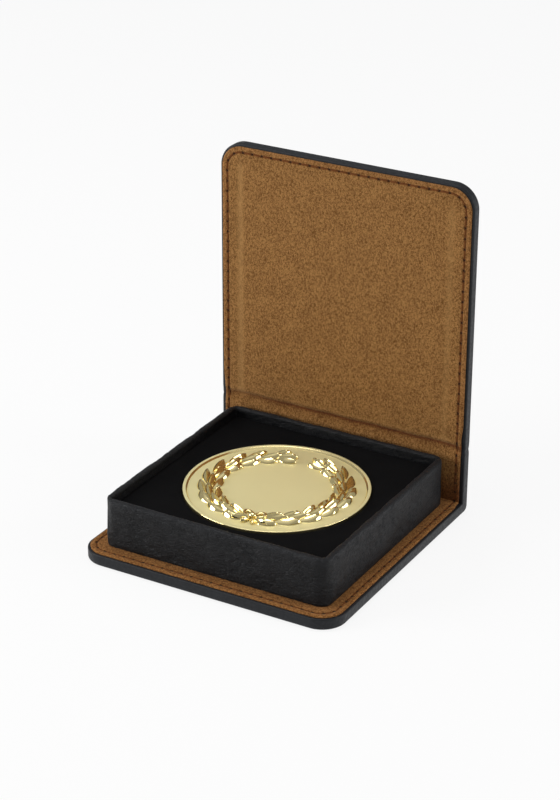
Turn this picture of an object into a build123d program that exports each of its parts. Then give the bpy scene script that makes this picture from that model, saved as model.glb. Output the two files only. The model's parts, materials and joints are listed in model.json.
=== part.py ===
"""A book-style presentation case for one medal, modelled standing open at a right angle.

The frame's origin is the middle of the underside, +X runs along the folds to the right,
+Y points to the spine at the back and +Z points up. All sizes are millimetres.
"""

from build123d import *
import os

os.makedirs("parts", exist_ok=True)

# Overall case
case_width = 106.0
case_depth = 107.0  # front edge of the base to the back of the spine
free_corner_radius = 9.5  # front corners of the base and top corners of the lid

# Layers of the base, spine and lid panels
leather_thickness = 0.8
board_thickness = 2.8
lining_thickness = 0.6
turn_in_width = 9.0  # leather folded over the board's edge, under the lining
lining_setback = 0.5  # lining's edge, in from the leather's
outer_edge_rounding = 1.0
inner_edge_rounding = 0.4
infill_corner_radius = 3.0

# Folds
fold_slack = 0.2  # room past square before two stiff panels touch
leather_groove_depth = 0.8  # how far the leather sinks into the upper fold, from outside
groove_gap = 0.8  # leather to lining at the bottom of the upper fold's groove
lid_setback = 0.3  # closed lid's front edge, behind the base's

# Tray
tray_side_margin = 6.5  # lining that shows beside the tray
tray_front_margin = 7.0  # lining that shows in front of the tray
tray_back_gap = 2.0  # tray to the lining of the spine
tray_height = 19.0
tray_corner_radius = 4.5
tray_inner_corner_radius = 1.2
wrap_thickness = 0.5
wall_board_thickness = 1.5
floor_board_thickness = 1.5
rim_rounding = 1.0
core_rim_rounding = 0.5
closing_gap = 0.3  # tray rim to the lining of the closed lid

# Insert
insert_clearance = 0.1
insert_recess = 4.6  # tray rim to the velvet
velvet_thickness = 0.6
well_clearance = 0.2
well_rim_rounding = 0.3

# Medal
medal_diameter = 70.0
medal_thickness = 3.0
medal_proud = 0.7  # medal's top above the velvet
medal_rim_width = 1.6
medal_rim_slope = 0.5  # width of the slope from the rim down to the field
medal_field_depth = 0.6  # field below the rim, on both faces
medal_edge_rounding = 0.4

# Wreath on the medal's upper face
wreath_rim_margin = 10.2  # medal's edge to the wreath's middle line
wreath_start_angle = 16.0  # first leaf, from the bow at the front
wreath_end_angle = 166.0  # last leaf, short of the gap at the back
wreath_leaf_pairs = 10
leaf_length = 8.0
leaf_width = 2.9
leaf_height = 0.45
leaf_row_offset = 2.3  # each row's distance from the wreath's middle line
leaf_splay_angle = 24.0
berry_radius = 0.7
berry_height = 0.5
bow_knot_radius = 1.5
bow_loop_length = 5.6
bow_loop_width = 2.4
bow_tilt = 22.0  # loops and tails, up and down from level

# Stitching
stitch_inset = 3.2  # seam to the panel's edge
stitch_pitch = 4.1
stitch_length = 2.7
thread_width = 0.5
thread_proud = 0.25

# Worked-out places
panel_thickness = 2 * leather_thickness + board_thickness + lining_thickness
shell_height = panel_thickness - lining_thickness
half_width = case_width / 2
base_front = -case_depth / 2
spine_back = case_depth / 2
spine_front = spine_back - panel_thickness
lining_groove_depth = board_thickness + leather_thickness - leather_groove_depth - groove_gap

tray_left = -half_width + tray_side_margin
tray_front = base_front + tray_front_margin
tray_back = spine_front - tray_back_gap
tray_width = -2 * tray_left
tray_depth = tray_back - tray_front
tray_middle = (tray_front + tray_back) / 2
tray_bottom = panel_thickness
tray_rim = tray_bottom + tray_height
floor_top = tray_bottom + floor_board_thickness
wall_thickness = 2 * wrap_thickness + wall_board_thickness

fold_y = spine_back - panel_thickness / 2
lower_fold_z = panel_thickness / 2
upper_fold_z = tray_rim + closing_gap + panel_thickness / 2
fold_reach = panel_thickness / 2 + fold_slack  # fold axis to the end of each stiff panel
base_end = fold_y - fold_reach
spine_bottom = lower_fold_z + fold_reach
spine_top = upper_fold_z - fold_reach
lid_bottom = upper_fold_z + fold_reach
lid_top = upper_fold_z + (fold_y - base_front) - lid_setback

velvet_top = tray_rim - insert_recess
medal_top = velvet_top + medal_proud
medal_bottom = medal_top - medal_thickness
medal_radius = medal_diameter / 2
well_radius = medal_radius + well_clearance

# Base panel lies on its outer face; spine and lid stand with theirs at the back
base_plane = Plane.XY
back_plane = Plane(origin=(0, spine_back, 0), x_dir=(1, 0, 0), z_dir=(0, -1, 0))

size_tolerance = 1e-4
reach_through = 1.0  # how far a cut runs past the open side it leaves by


def finish(piece, name):
    """Label a piece and write it to its own file."""
    piece.part.label = name
    export_step(piece.part, f"parts/{name}.step")


def panel_sketch(plane, near, far, inset, corner_radius):
    """Outline of one layer of a panel, between two places along it.

    The inset counts on the left and right. A corner radius rounds the corners of the
    far end, and 0 leaves them square.
    """
    with BuildSketch(plane) as outline:
        with Locations((0, (near + far) / 2)):
            Rectangle(case_width - 2 * inset, abs(far - near))
        if corner_radius > 0:
            along = outline.vertices().group_by(Axis.Y)
            corners = along[-1] if far > near else along[0]
            fillet(corners, corner_radius)
    return outline.sketch


def rim_edges(part, plane, height, folds):
    """Edges at one height over a panel's outer face, apart from those on a fold."""

    def is_on_rim(edge):
        place = plane.to_local_coords(edge.center())
        is_level = abs(place.Z - height) < size_tolerance
        is_on_fold = any(abs(place.Y - fold) < size_tolerance for fold in folds)
        return is_level and not is_on_fold

    return part.edges().filter_by(is_on_rim)


class Panel:
    """Places of one stiff panel: its plane, its fold end and its other end."""

    def __init__(self, plane, near, far, is_far_end_free):
        self.plane = plane
        self.near = near
        self.far = far
        self.away = 1 if far > near else -1
        self.is_free = is_far_end_free
        self.folds = [near] if is_far_end_free else [near, far]

    def layer(self, height, inset, past_fold=0.0):
        """Outline of a layer at one height, set in from the free edges.

        Past the fold is how far it runs on over each fold end.
        """
        near = self.near - self.away * past_fold
        if self.is_free:
            far = self.far - self.away * inset
            corner_radius = max(free_corner_radius - inset, infill_corner_radius)
        else:
            far = self.far + self.away * past_fold
            corner_radius = 0
        return panel_sketch(self.plane.offset(height), near, far, inset, corner_radius)

    def pocket(self, height, inset):
        """The same outline, run out through the folds so that a cut leaves no skin there."""
        return self.layer(height, inset, reach_through)


base_panel = Panel(base_plane, base_end, base_front, is_far_end_free=True)
spine_panel = Panel(back_plane, spine_bottom, spine_top, is_far_end_free=False)
lid_panel = Panel(back_plane, lid_bottom, lid_top, is_far_end_free=True)


def panel_cover(panel):
    """Leather shell of a panel: outer skin, wrapped edges and the turned-in border."""
    with BuildPart() as cover:
        extrude(panel.layer(0, 0), amount=shell_height)
        fillet(rim_edges(cover.part, panel.plane, 0, panel.folds), outer_edge_rounding)
        fillet(rim_edges(cover.part, panel.plane, shell_height, panel.folds), inner_edge_rounding)
        board_pocket = panel.pocket(leather_thickness, leather_thickness)
        extrude(board_pocket, amount=board_thickness, mode=Mode.SUBTRACT)
        infill_pocket = panel.pocket(leather_thickness + board_thickness, turn_in_width)
        extrude(infill_pocket, amount=leather_thickness, mode=Mode.SUBTRACT)
    return cover


def panel_board(panel):
    """Stiff board inside the leather shell."""
    with BuildPart() as board:
        extrude(panel.layer(leather_thickness, leather_thickness), amount=board_thickness)
    return board


def panel_infill(panel):
    """Sheet that fills the space inside the turned-in leather."""
    with BuildPart() as infill:
        inside_border = panel.layer(leather_thickness + board_thickness, turn_in_width)
        extrude(inside_border, amount=leather_thickness)
    return infill


def panel_lining(panel):
    """Suede lining over the turned-in leather and the infill."""
    with BuildPart() as lining:
        extrude(panel.layer(shell_height, lining_setback), amount=lining_thickness)
    return lining


def panel_seams(panel):
    """Seam lines of a panel, in its own plane: one round the free end or one each side."""
    side = half_width - stitch_inset
    with BuildLine() as seams:
        if panel.is_free:
            end = panel.far - panel.away * stitch_inset
            FilletPolyline(
                (-side, panel.near),
                (-side, end),
                (side, end),
                (side, panel.near),
                radius=free_corner_radius - stitch_inset,
            )
        else:
            Line((-side, panel.near), (-side, panel.far))
            Line((side, panel.near), (side, panel.far))
    return seams.line.wires()


def panel_stitching(panel):
    """Row of stitches lying on the lining along the panel's free edges."""
    places = []
    for seam in panel_seams(panel):
        count = round(seam.length / stitch_pitch)
        for step in range(count):
            along = (step + 0.5) / count
            spot = seam @ along
            heading = seam % along
            turn = Vector(1, 0, 0).get_signed_angle(heading, Vector(0, 0, 1))
            places.append(Location((spot.X, spot.Y, 0), (0, 0, turn)))
    with BuildPart() as stitching:
        with BuildSketch(panel.plane.offset(panel_thickness)):
            with Locations(*places):
                SlotOverall(stitch_length, thread_width)
        extrude(amount=thread_proud)
    return stitching


# Base, spine and lid panels
for panel, name, infill_name in (
    (base_panel, "base", "base_infill_card"),
    (spine_panel, "spine", "spine_infill_card"),
    (lid_panel, "lid", "lid_padding"),
):
    finish(panel_cover(panel), f"{name}_cover")
    finish(panel_board(panel), f"{name}_board")
    finish(panel_infill(panel), infill_name)
    finish(panel_lining(panel), f"{name}_lining")
    finish(panel_stitching(panel), f"{name}_stitching")


# Lower fold: leather round the outside of the corner
with BuildPart() as lower_fold_leather:
    with BuildSketch(Plane.YZ) as lower_leather_profile:
        with BuildLine():
            Polyline(
                (base_end, 0),
                (spine_back, 0),
                (spine_back, spine_bottom),
                (spine_back - leather_thickness, spine_bottom),
                (spine_back - leather_thickness, leather_thickness),
                (base_end, leather_thickness),
                close=True,
            )
        make_face()
        corners = lower_leather_profile.vertices()
        outer_corner = corners.sort_by_distance((spine_back, 0))[0]
        inner_corner = corners.sort_by_distance((spine_back - leather_thickness, leather_thickness))[0]
        fillet(outer_corner, panel_thickness / 2)
        fillet(inner_corner, panel_thickness / 2 - leather_thickness)
    extrude(amount=half_width, both=True)
finish(lower_fold_leather, "lower_fold_leather")

# Lower fold: lining tucked into the inside corner
with BuildPart() as lower_fold_lining:
    with BuildSketch(Plane.YZ):
        with BuildLine():
            RadiusArc((base_end, panel_thickness), (spine_front, spine_bottom), -fold_slack)
            Line((spine_front, spine_bottom), (spine_front + lining_thickness, spine_bottom))
            RadiusArc(
                (spine_front + lining_thickness, spine_bottom),
                (base_end, shell_height),
                fold_slack + lining_thickness,
            )
            Line((base_end, shell_height), (base_end, panel_thickness))
        make_face()
    extrude(amount=half_width - lining_setback, both=True)
finish(lower_fold_lining, "lower_fold_lining")


def groove_strip(face_y, thickness, sink, half_length):
    """Strip across the upper fold whose middle sinks into the gap between the boards."""
    back_y = face_y + thickness
    with BuildPart() as strip:
        with BuildSketch(Plane.YZ):
            with BuildLine():
                ThreePointArc(
                    (face_y, spine_top), (face_y + sink, upper_fold_z), (face_y, lid_bottom)
                )
                Line((face_y, lid_bottom), (back_y, lid_bottom))
                ThreePointArc(
                    (back_y, lid_bottom), (back_y + sink, upper_fold_z), (back_y, spine_top)
                )
                Line((back_y, spine_top), (face_y, spine_top))
            make_face()
        extrude(amount=half_length, both=True)
    return strip


# Upper fold: leather sinks in from the back and lining from the front
upper_fold_leather = groove_strip(
    spine_back - leather_thickness, leather_thickness, -leather_groove_depth, half_width
)
finish(upper_fold_leather, "upper_fold_leather")
upper_fold_lining = groove_strip(
    spine_front, lining_thickness, lining_groove_depth, half_width - lining_setback
)
finish(upper_fold_lining, "upper_fold_lining")


def tray_ring(outer_inset, inner_inset, height, rounding):
    """Square ring of the tray's walls between two insets, with a rounded top edge."""
    with BuildPart() as ring:
        with BuildSketch(Plane.XY.offset(tray_bottom)):
            with Locations((0, tray_middle)):
                RectangleRounded(
                    tray_width - 2 * outer_inset,
                    tray_depth - 2 * outer_inset,
                    tray_corner_radius - outer_inset,
                )
                RectangleRounded(
                    tray_width - 2 * inner_inset,
                    tray_depth - 2 * inner_inset,
                    tray_inner_corner_radius + wall_thickness - inner_inset,
                    mode=Mode.SUBTRACT,
                )
        extrude(amount=height)
        fillet(ring.edges().group_by(Axis.Z)[-1], rounding)
    return ring


# Tray walls: one board each side, mitred at the corners
wall_core_inset = wrap_thickness + wall_board_thickness
wall_core = tray_ring(
    wrap_thickness, wall_core_inset, tray_height - wrap_thickness, core_rim_rounding
)
mitre_reach = 4 * wall_thickness
outer_x = tray_width / 2
outer_y = tray_depth / 2
inner_x = outer_x - mitre_reach
inner_y = outer_y - mitre_reach
wall_corners = {
    "front": ((-outer_x, -outer_y), (outer_x, -outer_y), (inner_x, -inner_y), (-inner_x, -inner_y)),
    "back": ((-outer_x, outer_y), (outer_x, outer_y), (inner_x, inner_y), (-inner_x, inner_y)),
    "left": ((-outer_x, -outer_y), (-outer_x, outer_y), (-inner_x, inner_y), (-inner_x, -inner_y)),
    "right": ((outer_x, -outer_y), (outer_x, outer_y), (inner_x, inner_y), (inner_x, -inner_y)),
}
for side, corners in wall_corners.items():
    with BuildPart() as wall_board:
        add(wall_core.part)
        with BuildSketch(Plane.XY.offset(tray_bottom)):
            with Locations((0, tray_middle)):
                Polygon(*corners, align=None)
        extrude(amount=tray_height, mode=Mode.INTERSECT)
    finish(wall_board, f"tray_wall_{side}")

# Tray floor: board between the walls
with BuildPart() as tray_floor:
    with BuildSketch(Plane.XY.offset(tray_bottom)):
        with Locations((0, tray_middle)):
            RectangleRounded(
                tray_width - 2 * wall_core_inset,
                tray_depth - 2 * wall_core_inset,
                tray_inner_corner_radius + wrap_thickness,
            )
    extrude(amount=floor_board_thickness)
finish(tray_floor, "tray_floor")

# Tray wrap: leather up the outside, over the rim and down the inside
with BuildPart() as tray_wrap:
    add(tray_ring(0, wall_thickness, tray_height, rim_rounding).part)
    add(wall_core.part, mode=Mode.SUBTRACT)
    add(tray_floor.part, mode=Mode.SUBTRACT)
finish(tray_wrap, "tray_wrap")


def insert_block(bottom, top):
    """Square block that fills the tray between two heights."""
    with BuildPart() as block:
        with BuildSketch(Plane.XY.offset(bottom)):
            with Locations((0, tray_middle)):
                RectangleRounded(
                    tray_width - 2 * (wall_thickness + insert_clearance),
                    tray_depth - 2 * (wall_thickness + insert_clearance),
                    tray_inner_corner_radius - insert_clearance,
                )
        extrude(amount=top - bottom)
    return block


def well_disc(radius, bottom, top):
    """Round disc on the well's axis."""
    with BuildPart() as disc:
        with BuildSketch(Plane.XY.offset(bottom)):
            with Locations((0, tray_middle)):
                Circle(radius)
        extrude(amount=top - bottom)
    return disc


# Insert: foam block with a round well, and the velvet skin over both
foam_top = velvet_top - velvet_thickness
well_floor = medal_bottom - velvet_thickness
with BuildPart() as insert_foam:
    add(insert_block(floor_top, foam_top))
    add(well_disc(well_radius + velvet_thickness, well_floor, foam_top).part, mode=Mode.SUBTRACT)
finish(insert_foam, "insert_foam")

with BuildPart() as insert_velvet:
    add(insert_block(foam_top, velvet_top))
    add(well_disc(well_radius + velvet_thickness, well_floor, velvet_top).part)
    add(well_disc(well_radius, medal_bottom, velvet_top).part, mode=Mode.SUBTRACT)
    well_rim = insert_velvet.edges().filter_by(GeomType.CIRCLE).group_by(Axis.Z)[-1]
    fillet(well_rim.sort_by(SortBy.RADIUS)[-1], well_rim_rounding)
finish(insert_velvet, "insert_velvet")


wreath_radius = medal_radius - wreath_rim_margin


def leaf_places(radius_offset, splay, count, shift):
    """Places of one row along both branches, mirrored about the medal's middle.

    The splay turns each leaf from the branch, outwards where it is negative. The shift
    moves the row along by a share of the leaves' spacing.
    """
    spacing = (wreath_end_angle - wreath_start_angle) / (wreath_leaf_pairs - 1)
    places = []
    for side in (1, -1):
        for step in range(count):
            bearing = -90 + side * (wreath_start_angle + (step + shift) * spacing)
            spot = Vector(wreath_radius + radius_offset, 0, 0).rotate(Axis.Z, bearing)
            turn = bearing + side * (90 + splay)
            places.append(Location((spot.X, tray_middle + spot.Y, 0), (0, 0, turn)))
    return places


def bow_places():
    """Places of the bow's two loops and two tails beside its knot."""
    places = []
    for side in (1, -1):
        for tilt in (bow_tilt, -bow_tilt):
            out = Vector(side * bow_loop_length / 2, 0, 0).rotate(Axis.Z, side * tilt)
            spot = Vector(0, tray_middle - wreath_radius, 0) + out
            places.append(Location((spot.X, spot.Y, 0), (0, 0, side * tilt)))
    return places


# Medal: turned blank with a raised rim, laurel leaves and a bow on its upper face
upper_field = medal_top - medal_field_depth
lower_field = medal_bottom + medal_field_depth
field_radius = medal_radius - medal_rim_width - medal_rim_slope
medal_axis = Axis((0, tray_middle, 0), (0, 0, 1))
with BuildPart() as medal:
    with BuildSketch(Plane.XZ.offset(-tray_middle)):
        with BuildLine():
            Polyline(
                (0, lower_field),
                (field_radius, lower_field),
                (medal_radius - medal_rim_width, medal_bottom),
                (medal_radius, medal_bottom),
                (medal_radius, medal_top),
                (medal_radius - medal_rim_width, medal_top),
                (field_radius, upper_field),
                (0, upper_field),
                close=True,
            )
        make_face()
    revolve(axis=medal_axis)
    outermost = medal.edges().filter_by(GeomType.CIRCLE).filter_by(
        lambda edge: abs(edge.radius - medal_radius) < size_tolerance
    )
    fillet(outermost, medal_edge_rounding)
    with BuildSketch(Plane.XY.offset(upper_field)):
        with Locations(*leaf_places(leaf_row_offset, -leaf_splay_angle, wreath_leaf_pairs, 0)):
            SlotOverall(leaf_length, leaf_width)
        with Locations(*leaf_places(-leaf_row_offset, leaf_splay_angle, wreath_leaf_pairs, 0)):
            SlotOverall(leaf_length, leaf_width)
        with Locations(*bow_places()):
            SlotOverall(bow_loop_length, bow_loop_width)
        with Locations((0, tray_middle - wreath_radius)):
            Circle(bow_knot_radius)
    extrude(amount=leaf_height)
    with BuildSketch(Plane.XY.offset(upper_field)):
        with Locations(*leaf_places(0, 0, wreath_leaf_pairs - 1, 0.5)):
            Circle(berry_radius)
    extrude(amount=berry_height)
finish(medal, "medal")
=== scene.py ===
"""Looks of a book-style medal case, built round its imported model."""

import contextlib
import json
import math
import random

import bmesh
import bpy
from mathutils import Euler, Matrix, Vector, noise

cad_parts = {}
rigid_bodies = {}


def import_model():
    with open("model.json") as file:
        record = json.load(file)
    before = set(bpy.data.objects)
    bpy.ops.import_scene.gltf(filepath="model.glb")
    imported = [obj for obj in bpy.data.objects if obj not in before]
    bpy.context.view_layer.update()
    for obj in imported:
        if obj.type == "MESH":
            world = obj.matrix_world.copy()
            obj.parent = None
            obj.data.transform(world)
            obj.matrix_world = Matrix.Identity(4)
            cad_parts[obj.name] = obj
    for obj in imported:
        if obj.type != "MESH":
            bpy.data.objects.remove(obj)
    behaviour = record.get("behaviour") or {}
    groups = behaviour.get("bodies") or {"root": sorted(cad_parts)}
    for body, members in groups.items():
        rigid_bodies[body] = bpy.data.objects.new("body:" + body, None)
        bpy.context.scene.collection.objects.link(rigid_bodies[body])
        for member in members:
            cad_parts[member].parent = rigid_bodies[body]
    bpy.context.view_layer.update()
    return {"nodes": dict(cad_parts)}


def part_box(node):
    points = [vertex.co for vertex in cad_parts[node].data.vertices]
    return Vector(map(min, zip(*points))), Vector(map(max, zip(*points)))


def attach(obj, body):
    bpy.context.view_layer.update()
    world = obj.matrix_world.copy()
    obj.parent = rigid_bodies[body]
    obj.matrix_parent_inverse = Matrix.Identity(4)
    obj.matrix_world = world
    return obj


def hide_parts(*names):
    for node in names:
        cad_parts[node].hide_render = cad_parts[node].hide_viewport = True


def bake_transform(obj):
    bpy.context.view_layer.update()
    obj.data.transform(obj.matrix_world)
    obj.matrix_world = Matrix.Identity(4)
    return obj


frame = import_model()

bl_info = {
    "name": "Medal Case",
    "version": (1, 0, 0),
    "blender": (4, 5, 0),
    "location": "3D View > Sidebar > Medal Case",
    "description": "Leather, suede, velvet and gold pieces of a book-style medal case",
    "category": "Object",
}

MM = 0.001

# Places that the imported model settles
BASE_LOW, BASE_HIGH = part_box("base_cover")
SPINE_LOW, SPINE_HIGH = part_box("spine_cover")
LID_LOW, LID_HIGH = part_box("lid_cover")
LINING_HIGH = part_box("base_lining")[1]
TRAY_LOW, TRAY_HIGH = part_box("tray_wrap")
VELVET_LOW, VELVET_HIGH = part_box("insert_velvet")
FOAM_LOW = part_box("insert_foam")[0]
MEDAL_LOW, MEDAL_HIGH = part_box("medal")
PAD_LOW, PAD_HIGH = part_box("lid_padding")
HALF_WIDTH = BASE_HIGH.x
BACK = SPINE_HIGH.y
SHELL_HEIGHT = BASE_HIGH.z  # leather's turned-in face, under the lining
PANEL_THICKNESS = LINING_HIGH.z
FOLD_AXIS_Y = BACK - PANEL_THICKNESS / 2
UPPER_FOLD_Z = (SPINE_HIGH.z + LID_LOW.z) / 2
UPPER_GAP = LID_LOW.z - SPINE_HIGH.z

# Sizes that follow from how the case is made
LEATHER_STEP = 1.5 * MM  # between the points of the leatherette's blank
LINING_STEP = 0.9 * MM  # between the points of the lining's blank
LINING_OVERRUN = 5 * MM  # a fold's lining piece runs on over the panels beside it
SHORTEST_FLAT = 10.1 * MM  # least side that a sheet's flat size may state
INNER_ROUNDING = 0.4 * MM  # leatherette's turn from a panel's edge to its inside
TURN = 1 * MM  # length that stands for the lower fold's turn in a blank
TRAY_WALL = 2.5 * MM
TRAY_CORNER = 4.5 * MM
TRAY_INNER_CORNER = 1.2 * MM
TRAY_RIM_ROUNDING = 1.1 * MM
CORNER_SHARE = 0.12  # of a tray side's run that goes round its corner
VELVET_THICKNESS = 0.6 * MM
WELL_ROUNDING = 0.5 * MM
FIELD_DEPTH = 0.6 * MM  # medal's plain field, below its rim
WREATH_INSET = 10.2 * MM  # medal's edge to the wreath's middle line

# The photograph's camera, from the middle of the object's height
CAMERA_TARGET = Vector((0, 0, 0.040))
CAMERA_AZIMUTH = 29.78
CAMERA_ELEVATION = 25.31
CAMERA_ROLL = 0.2
CAMERA_DISTANCE = 0.83
CAMERA_OFFSET = (0.00106, 0.01399)
CAMERA_LENS = 102.117

# Soft boxes: name, place in metres, side in metres and power in watts
LAMPS = (
    ("key", (-0.85, -0.65, 0.36), 0.6, 8.6),
    ("side", (1.2, 0.3, 0.45), 0.7, 6.6),
    ("top", (-0.2, 0.1, 1.5), 0.8, 7.4),
)
LAMPS_AIM = Vector((0, 0, 0.05))
SKY_COLOUR = (0.97, 0.985, 1.0)
SKY_STRENGTH = 0.26
# What polished metal mirrors of the surroundings: how steeply a ray rises, and the grey there
MIRRORED_SKY = ((0.05, 1.0), (0.13, 0.05), (0.7, 0.07), (0.94, 0.65))
FLOOR_GLOW = 0.86  # share of the floor's whiteness that no shadow dims
FLOOR_FADE = (500, 3000)  # from the middle, where that share rises to 1, in millimetres


def millimetres(name, description, value):
    """A length in the sidebar, given in millimetres."""
    return bpy.props.FloatProperty(
        name=name, description=description, default=value * MM, unit="LENGTH"
    )


def swatch(name, description, *channels):
    """A colour in the sidebar."""
    return bpy.props.FloatVectorProperty(
        name=name, description=description, default=channels, subtype="COLOR"
    )


class CaseSizes(bpy.types.PropertyGroup):
    """Sizes that a maker of the case would change."""

    corner_radius: millimetres("Corner radius", "Round corners of the base and the lid", 9.5)
    leather_thickness: millimetres("Leather thickness", "Leatherette on the three boards", 0.8)
    turn_in: millimetres("Turn-in", "Leatherette folded over the boards' edges", 9)
    edge_rounding: millimetres("Edge rounding", "Board's outer edge under its leatherette", 1)
    lining_thickness: millimetres("Lining thickness", "Suede lining with its backing", 0.6)
    lining_setback: millimetres("Lining setback", "Leatherette's edge to the lining's", 0.95)
    groove_depth: millimetres("Groove depth", "Lining's groove between spine and lid", 1.3)
    seam_inset: millimetres("Seam inset", "Leatherette's edge to the stitching", 3.2)
    stitch_pitch: millimetres("Stitch pitch", "From one needle hole to the next", 4.1)
    thread_width: millimetres("Thread width", "Sewing thread across a stitch", 0.5)
    tray_wrap: millimetres("Tray wrap", "Soft leatherette round the tray's walls", 0.5)
    crease_depth: millimetres("Crease depth", "Creases in the tray's leatherette", 1.15)
    medal_rim: millimetres("Medal rim", "Flat width of the medal's raised rim", 1.3)
    leaf_length: millimetres("Leaf length", "Length of a laurel leaf in the wreath", 10.2)
    leaf_groups: bpy.props.IntProperty(
        name="Leaf groups",
        description="Groups of three leaves on each branch of the wreath",
        default=9,
        min=3,
    )
    wreath_turn: bpy.props.FloatProperty(
        name="Wreath turn",
        description="How far the medal lies turned in its well",
        default=math.radians(7),
        subtype="ANGLE",
    )


class CaseColours(bpy.types.PropertyGroup):
    """Colours of the case's materials."""

    leather: swatch("Leatherette", "Outside of the case", 0.0085, 0.0098, 0.0128)
    tray_leather: swatch("Tray leatherette", "Creased leatherette", 0.0064, 0.0067, 0.0077)
    suede: swatch("Suede", "Lining with its nap at rest", 0.252, 0.118, 0.032)
    # Pressed suede: partly real burnished nap, partly painted highlight.
    pressed_highlit_suede: swatch("Rubbed suede", "Where the tray's rim presses", 0.34, 0.177, 0.058)
    thread: swatch("Thread", "Sewing thread", 0.15, 0.052, 0.016)
    velvet: swatch("Velvet", "Insert that holds the medal", 0.0052, 0.0052, 0.0056)
    foam: swatch("Foam", "Block and padding under the velvet and leatherette", 0.04, 0.04, 0.043)
    gold: swatch("Gold", "Polished plating of the medal", 0.95, 0.8, 0.4)
    satin_gold: swatch("Satin gold", "Plating of the medal's plain field", 0.93, 0.85, 0.465)
    board: swatch("Grey board", "Boards inside the covers and the tray", 0.23, 0.215, 0.19)


class Signal:
    """An output of a node, with the usual arithmetic on it."""

    def __init__(self, nodes, socket):
        self.nodes = nodes
        self.socket = socket

    def maths(self, operation, *values):
        """Add a Math node for one operation."""
        sockets = dict(enumerate(values))
        return self.nodes.node("ShaderNodeMath", {"operation": operation}, sockets)

    def __add__(self, other):
        return self.maths("ADD", self, other)

    def __radd__(self, other):
        return self.maths("ADD", other, self)

    def __sub__(self, other):
        return self.maths("SUBTRACT", self, other)

    def __rsub__(self, other):
        return self.maths("SUBTRACT", other, self)

    def __mul__(self, other):
        return self.maths("MULTIPLY", self, other)

    def __rmul__(self, other):
        return self.maths("MULTIPLY", other, self)

    def __truediv__(self, other):
        return self.maths("DIVIDE", self, other)

    def __pow__(self, other):
        return self.maths("POWER", self, other)

    def __abs__(self):
        return self.maths("ABSOLUTE", self)

    def larger(self, other):
        """The larger of two signals."""
        return self.maths("MAXIMUM", self, other)

    def ramp(self, low, high):
        """Rise smoothly from 0 at the low value to 1 at the high one."""
        settings = {"interpolation_type": "SMOOTHSTEP"}
        sockets = {"Value": self, "From Min": low, "From Max": high}
        return self.nodes.node("ShaderNodeMapRange", settings, sockets)


class Nodes:
    """A node tree and what can be added to it."""

    def __init__(self, tree):
        self.tree = tree

    def node(self, kind, settings, sockets, output=0):
        """Add any node: its settings first, then what goes into its sockets."""
        added = self.tree.nodes.new(kind)
        for name, value in settings.items():
            if name == "stops":
                self.set_stops(added.color_ramp.elements, value)
            else:
                setattr(added, name, value)
        for name, value in sockets.items():
            self.feed(added.inputs[name], value)
        return Signal(self, added.outputs[output])

    def feed(self, socket, value):
        """Link a signal to a socket, or set its value."""
        if isinstance(value, Signal):
            self.tree.links.new(value.socket, socket)
        elif socket.type == "RGBA" and len(value) == 3:
            socket.default_value = (*value, 1)
        else:
            socket.default_value = value

    def set_stops(self, elements, stops):
        """Give a colour ramp its stops, each a place and a grey level."""
        elements.remove(elements[1])
        elements[0].position = stops[0][0]
        for place, level in stops[1:]:
            elements.new(place)
        for element, (place, level) in zip(elements, stops):
            element.color = (level, level, level, 1)

    def ray(self, kind):
        """1 where the ray that arrives is of a kind, or else 0."""
        return self.node("ShaderNodeLightPath", {}, {}, f"Is {kind} Ray")

    def end_with(self, shader):
        """Feed the material's or the world's output."""
        ends = next(node for node in self.tree.nodes if "Surface" in node.inputs)
        self.tree.links.new(shader.socket, ends.inputs["Surface"])

    def place(self, stretch=(1, 1, 1), turn=(0, 0, 0)):
        """Object coordinates in millimetres, stretched along each axis."""
        point = self.node("ShaderNodeTexCoord", {}, {}, "Object")
        scale = [1000 / value for value in stretch]
        return self.node("ShaderNodeMapping", {}, {"Vector": point, "Rotation": turn, "Scale": scale})

    def split(self, vector):
        """Three signals for a vector's X, Y and Z."""
        parts = self.node("ShaderNodeSeparateXYZ", {}, {0: vector})
        outputs = parts.socket.node.outputs
        return [Signal(self, outputs[axis]) for axis in range(3)]

    def attribute(self, name):
        """A vector stored on the piece's points."""
        return self.node("ShaderNodeAttribute", {"attribute_name": name}, {}, "Vector")

    def clouds(self, point, size, detail=3.0, roughness=0.55, distortion=0.0):
        """Noise from 0 to 1 whose lumps are about one size, in millimetres."""
        sockets = {"Vector": point, "Scale": 1 / size, "Detail": detail}
        sockets.update({"Roughness": roughness, "Distortion": distortion})
        return self.node("ShaderNodeTexNoise", {}, sockets)

    def cells(self, point, size, feature="F1"):
        """Distance in a pattern of cells about one size, in millimetres."""
        sockets = {"Vector": point, "Scale": 1 / size}
        return self.node("ShaderNodeTexVoronoi", {"feature": feature}, sockets)

    def mix(self, factor, first, second, blend="MIX"):
        """Blend two colours."""
        settings = {"data_type": "RGBA", "blend_type": blend}
        return self.node("ShaderNodeMix", settings, {0: factor, 6: first, 7: second}, 2)

    def bump(self, height, depth, strength=1.0, under=None):
        """Normal of a relief whose depth is in millimetres."""
        sockets = {"Height": height, "Distance": depth * MM, "Strength": strength}
        if under is not None:
            sockets["Normal"] = under
        return self.node("ShaderNodeBump", {}, sockets)


class Finish(Nodes):
    """A material and the nodes that make it."""

    def __init__(self, name):
        self.material = bpy.data.materials.new(name)
        self.material.use_nodes = True
        super().__init__(self.material.node_tree)
        self.shader = self.tree.nodes["Principled BSDF"]

    def surface(self, **values):
        """Feed the shader's own sockets, named with underscores for spaces."""
        for name, value in values.items():
            self.feed(self.shader.inputs[name.replace("_", " ")], value)


def colours():
    """The case's colours in the scene."""
    return bpy.context.scene.case_colours


def sizes():
    """The case's sizes in the scene."""
    return bpy.context.scene.case_sizes


def darker(colour, share):
    """A colour times a share."""
    return tuple(channel * share for channel in colour)


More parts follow.
